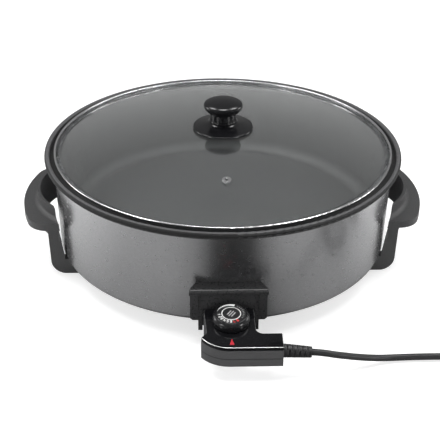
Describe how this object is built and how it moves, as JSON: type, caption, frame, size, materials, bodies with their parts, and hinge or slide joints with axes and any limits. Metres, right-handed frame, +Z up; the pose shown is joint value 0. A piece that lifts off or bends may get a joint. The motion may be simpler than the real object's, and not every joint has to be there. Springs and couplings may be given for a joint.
{
  "type": "electric grill pan",
  "caption": "Round electric grill pan with a domed glass lid, crescent handles on legs and a pull-out thermostat plug on a cord.",
  "frame": {"origin": "point on the table under the pan's axis", "axes": "+Z up, -Y towards the thermostat plug, +X to the right seen from the plug's side"},
  "size_m": [0.5805, 0.4728, 0.1913],
  "materials": {
    "nonstick": "black non-stick coat",
    "hammertone": "satin hammertone",
    "aluminium": "satin",
    "steel": "satin",
    "bright_steel": "polished",
    "brass": "satin",
    "ceramic": "matte ceramic",
    "handle_plastic": "matte",
    "guard_plastic": "satin",
    "glass": "clear",
    "knob_plastic": "gloss",
    "silicone": "matte",
    "gloss_cover": "gloss",
    "case_plastic": "matte",
    "phenolic": "matte",
    "red_lens": "gloss",
    "lamp_glass": "clear",
    "dial_plastic": "satin",
    "dial_print": "printed",
    "cord_rubber": "satin"
  },
  "bodies": {
    "pan": {"inner_pan": "nonstick", "outer_jacket": "hammertone", "heat_plate": "aluminium", "heating_element": "steel", "element_clips": "steel", "terminal_pins": "brass", "terminal_bushes": "ceramic", "probe_sleeve": "aluminium", "center_stud": "steel", "center_nut": "steel", "socket_guard": "guard_plastic", "guard_screws": "steel", "left_handle": "handle_plastic", "right_handle": "handle_plastic", "handle_screws": "steel", "handle_nuts": "steel"},
    "lid": {"lid_glass": "glass", "lid_band": "bright_steel", "vent_eyelet": "bright_steel", "knob_disc": "knob_plastic", "lid_knob": "knob_plastic", "knob_insert": "brass", "knob_screw": "steel", "knob_washer": "steel", "knob_gasket": "silicone"},
    "thermostat": {"plug_cover": "gloss_cover", "plug_housing": "case_plastic", "plug_base": "case_plastic", "case_screws": "steel", "terminal_block": "phenolic", "pin_receptacles": "brass", "probe_rod": "steel", "thermostat_frame": "steel", "contact_leaves": "brass", "leaf_spacers": "ceramic", "pilot_lens": "red_lens", "pilot_lamp": "lamp_glass", "cord_clamp": "case_plastic", "strain_relief": "cord_rubber", "supply_cord": "cord_rubber", "cord_coil": "cord_rubber", "coil_tie": "cord_rubber", "mains_plug": "cord_rubber", "mains_pins": "bright_steel", "mains_earth_clips": "steel"},
    "dial": {"dial_knob": "dial_plastic", "dial_disc": "dial_print", "dial_spindle": "steel"}
  },
  "joints": [
    {"name": "lid_lift", "type": "slide", "parent": "pan", "child": "lid", "axis": [0, 0, 1], "range_m": [0, 0.15]},
    {"name": "thermostat_pull", "type": "slide", "parent": "pan", "child": "thermostat", "axis": [0, -1, 0], "range_m": [0, 0.1]},
    {"name": "dial_turn", "type": "hinge", "parent": "thermostat", "child": "dial", "pos_m": [0.0016, -0.22701, 0.04493], "axis": [0, -0.0958, 0.9954], "range_deg": [0, 270]}
  ]
}
